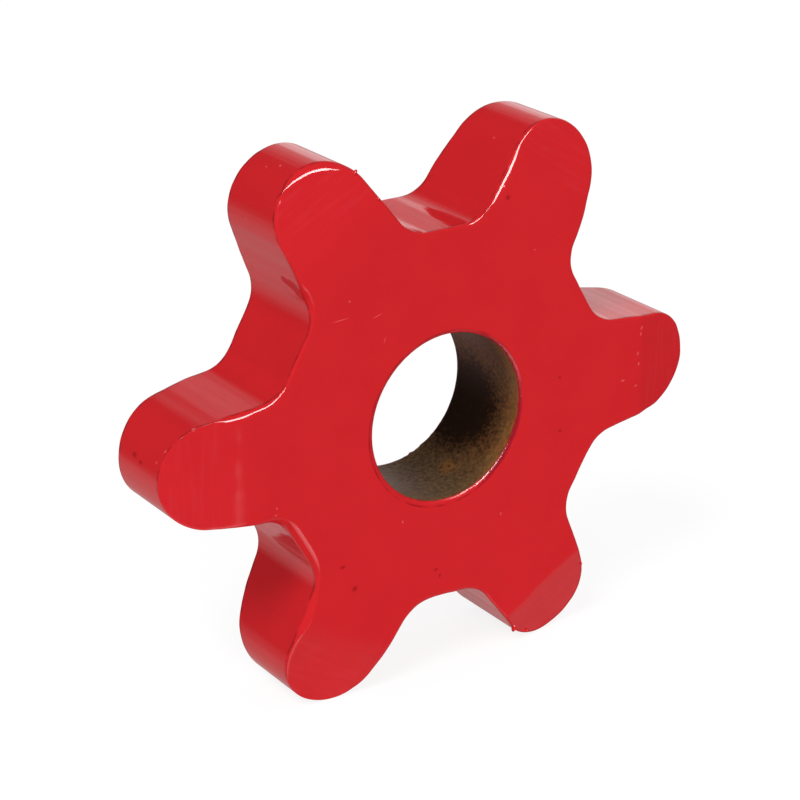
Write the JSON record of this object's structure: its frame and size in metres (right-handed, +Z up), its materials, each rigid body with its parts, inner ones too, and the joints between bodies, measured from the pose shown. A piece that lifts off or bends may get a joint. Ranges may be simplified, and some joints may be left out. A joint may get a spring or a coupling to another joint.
{
  "type": "chain sprocket",
  "caption": "One-piece star sprocket cut from thick steel plate, with rounded bevel-tipped teeth for a long-link chain and a plain through bore to weld or fix on a shaft.",
  "frame": {"origin": "on the bore's axis, halfway through the plate", "axes": "+Y along the bore's axis, from the front face to the back face; +X along one tooth; +Z up, midway between the two upper teeth, with the star standing on the tips of its two lower teeth"},
  "size_m": [0.18, 0.032, 0.16],
  "materials": {
    "red_enamel": "glossy red enamel over flame-cut steel plate; the bore is left bare, brown and lightly rusted"
  },
  "bodies": {
    "root": {"sprocket": "red_enamel"}
  },
  "joints": []
}
